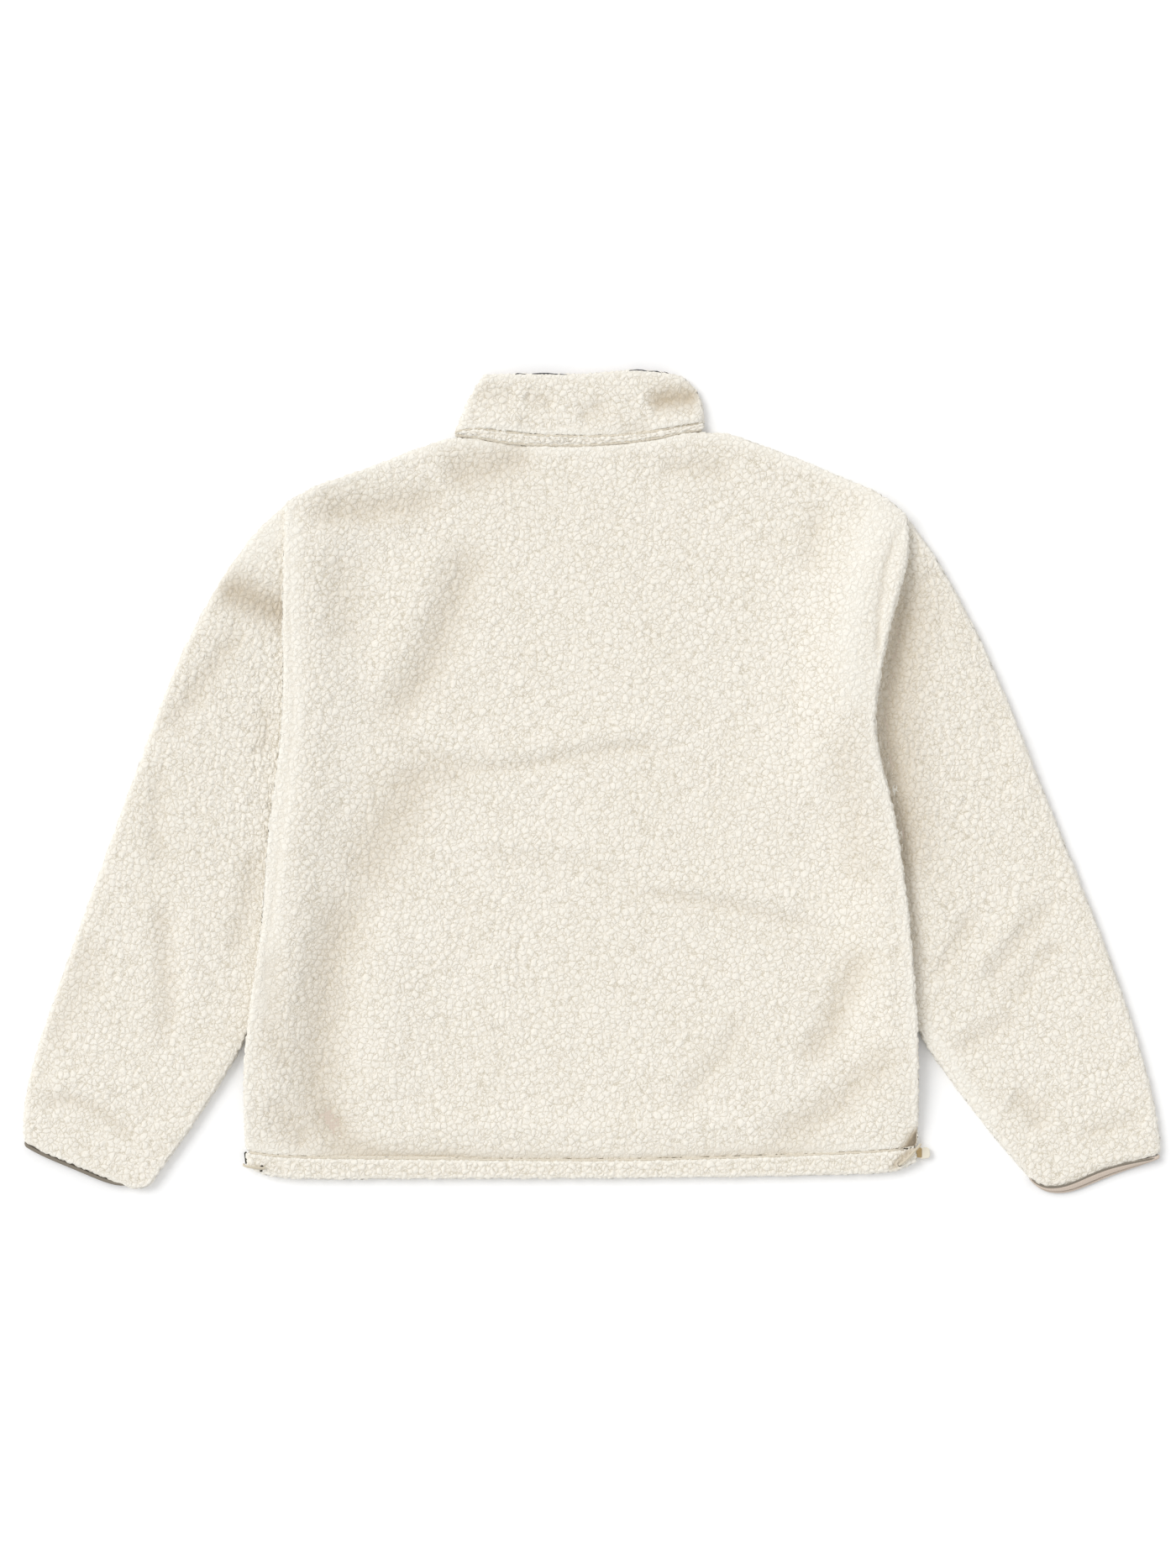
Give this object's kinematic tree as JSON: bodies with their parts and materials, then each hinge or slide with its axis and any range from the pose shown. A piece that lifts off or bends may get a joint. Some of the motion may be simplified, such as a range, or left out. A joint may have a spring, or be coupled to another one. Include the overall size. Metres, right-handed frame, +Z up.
{
  "type": "sherpa fleece pullover",
  "caption": "Boxy fleece pullover laid flat on its front: stand collar, set-in sleeves spread beside the body, bound cuffs and a drawcord hem.",
  "frame": {"origin": "on the surface it lies on, under the middle of the whole garment", "axes": "+Z up from the surface, +Y from the hem to the collar, +X to the wearer's right, with the back of the garment up"},
  "size_m": [1.0174, 0.7384, 0.0248],
  "materials": {
    "sherpa": "cream sherpa fleece, matt curled pile on a knit backing",
    "binding": "taupe woven binding, matt",
    "collar_trim": "charcoal woven binding, matt",
    "placket": "taupe woven facing, matt",
    "stud": "satin press stud cap",
    "drawcord": "braided cream cord",
    "tab": "tan webbing",
    "dark_tab": "dark olive webbing"
  },
  "bodies": {
    "root": {"back": "sherpa", "front": "sherpa", "hem_casing_back": "sherpa", "hem_casing_front": "sherpa", "sleeve_left": "sherpa", "sleeve_right": "sherpa", "collar": "sherpa", "neck_band": "sherpa", "cuff_binding_left": "binding", "cuff_binding_right": "binding", "collar_binding": "collar_trim", "front_placket": "placket", "press_stud_1": "stud", "press_stud_2": "stud", "press_stud_3": "stud", "press_stud_4": "stud", "drawcord_left": "drawcord", "drawcord_right": "drawcord", "keeper_tab_left": "dark_tab", "keeper_tab_right": "tab"}
  },
  "joints": []
}
